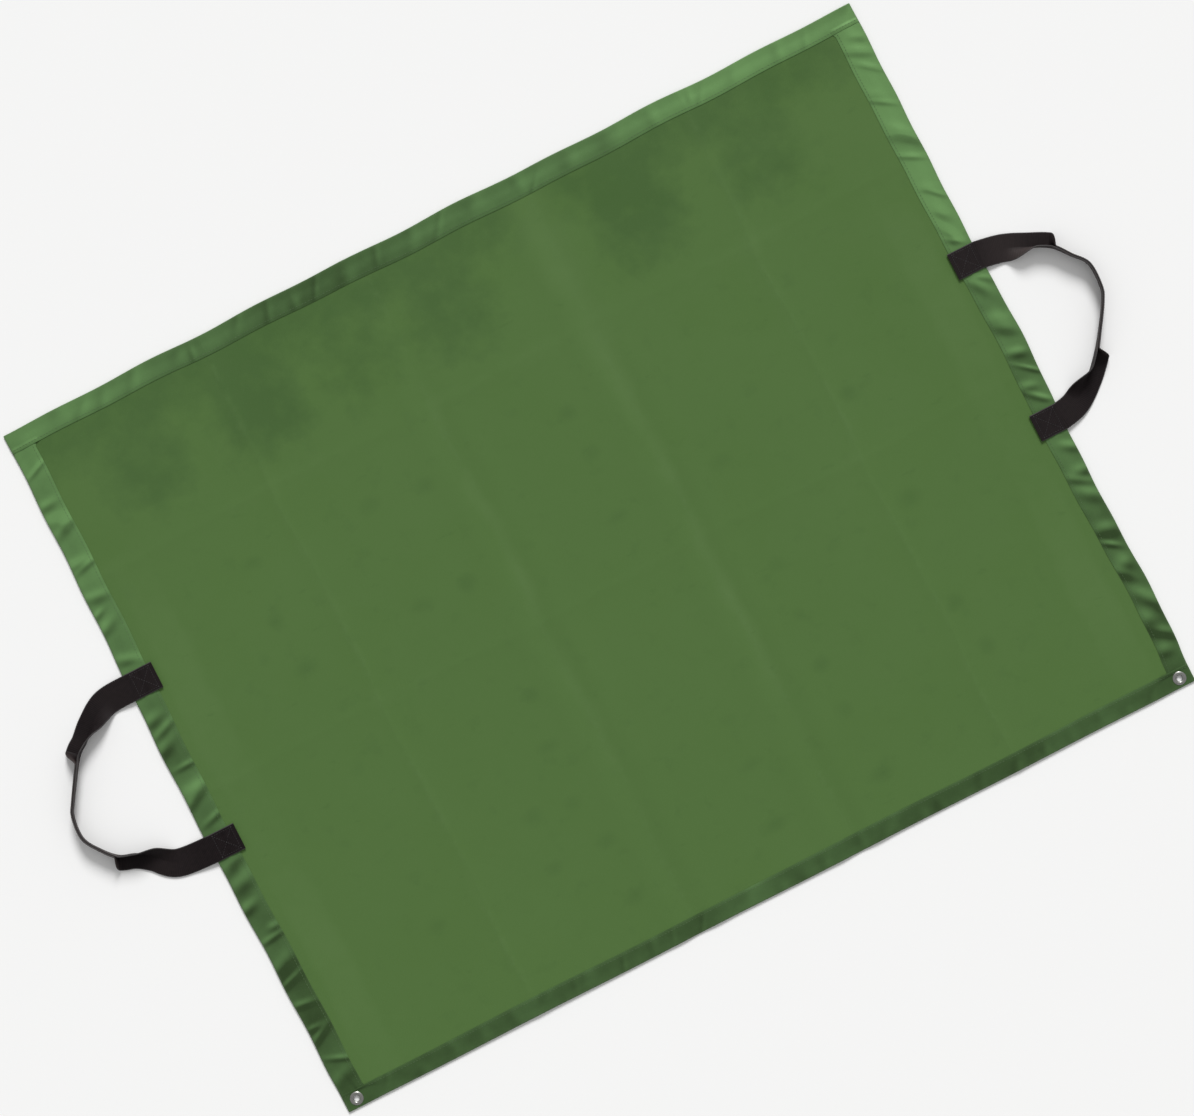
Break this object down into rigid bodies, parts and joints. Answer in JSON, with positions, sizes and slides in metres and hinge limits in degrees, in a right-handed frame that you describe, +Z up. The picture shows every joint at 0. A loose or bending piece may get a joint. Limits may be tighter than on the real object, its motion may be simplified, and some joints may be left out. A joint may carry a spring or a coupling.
{
  "type": "folding stretcher",
  "caption": "Folding carry sheet stretcher: a flat two-layer cloth sheet with turned hems, a webbing carry loop at each end and metal eyelets in the front corners.",
  "frame": {"origin": "on the underside of the ground sheet, at the middle of the sheet without its carry loops", "axes": "+X along the length from the left carry loop to the right one, +Y from the front edge, which has the eyelets, to the back edge, +Z up, out of the lined face"},
  "size_m": [1.2309, 0.8, 0.0134],
  "materials": {
    "ground_cloth": "coated nylon, satin outer face, green",
    "liner_cloth": "matte coated face, olive green",
    "hem_cloth": "coated nylon, satin, turned over and sewn, green",
    "webbing": "woven webbing, matte black",
    "eyelet_metal": "nickel-plated, dulled"
  },
  "bodies": {
    "sheet_centre": {"ground_sheet_centre": "ground_cloth", "liner_centre": "liner_cloth", "back_hem_centre": "hem_cloth", "front_hem_centre": "hem_cloth"},
    "wing_left_inner": {"ground_sheet_inner_left": "ground_cloth", "liner_inner_left": "liner_cloth", "back_hem_inner_left": "hem_cloth", "front_hem_inner_left": "hem_cloth"},
    "wing_left_outer": {"ground_sheet_outer_left": "ground_cloth", "liner_outer_left": "liner_cloth", "back_hem_outer_left": "hem_cloth", "front_hem_outer_left": "hem_cloth", "side_hem_left": "hem_cloth", "strap_end_left_back": "webbing", "strap_end_left_front": "webbing", "eyelet_left": "eyelet_metal", "eyelet_washer_left": "eyelet_metal"},
    "handle_left": {"carry_loop_left": "webbing"},
    "wing_right_inner": {"ground_sheet_inner_right": "ground_cloth", "liner_inner_right": "liner_cloth", "back_hem_inner_right": "hem_cloth", "front_hem_inner_right": "hem_cloth"},
    "wing_right_outer": {"ground_sheet_outer_right": "ground_cloth", "liner_outer_right": "liner_cloth", "back_hem_outer_right": "hem_cloth", "front_hem_outer_right": "hem_cloth", "side_hem_right": "hem_cloth", "strap_end_right_back": "webbing", "strap_end_right_front": "webbing", "eyelet_right": "eyelet_metal", "eyelet_washer_right": "eyelet_metal"},
    "handle_right": {"carry_loop_right": "webbing"}
  },
  "joints": [
    {"name": "fold_right", "type": "hinge", "parent": "sheet_centre", "child": "wing_right_inner", "pos_m": [0.105, 0, 0.0033], "axis": [0, -1, 0], "range_deg": [0, 179.5]},
    {"name": "fold_right_outer", "type": "hinge", "parent": "wing_right_inner", "child": "wing_right_outer", "pos_m": [0.294, 0, -0.00015], "axis": [0, -1, 0], "range_deg": [-179.5, 0]},
    {"name": "fold_left", "type": "hinge", "parent": "sheet_centre", "child": "wing_left_inner", "pos_m": [-0.084, 0, 0.00847], "axis": [0, 1, 0], "range_deg": [0, 179.5]},
    {"name": "fold_left_outer", "type": "hinge", "parent": "wing_left_inner", "child": "wing_left_outer", "pos_m": [-0.273, 0, -0.00015], "axis": [0, 1, 0], "range_deg": [-179.5, 0]},
    {"name": "swing_handle_right", "type": "hinge", "parent": "wing_right_outer", "child": "handle_right", "pos_m": [0.5, 0.0075, 0.00475], "axis": [0, -1, 0], "range_deg": [0, 150]},
    {"name": "swing_handle_left", "type": "hinge", "parent": "wing_left_outer", "child": "handle_left", "pos_m": [-0.5, 0.0075, 0.00475], "axis": [0, 1, 0], "range_deg": [0, 150]}
  ],
  "couplings": [
    {"joint": "fold_right_outer", "follows": "fold_right", "ratio": -1},
    {"joint": "fold_left_outer", "follows": "fold_left", "ratio": -1}
  ]
}
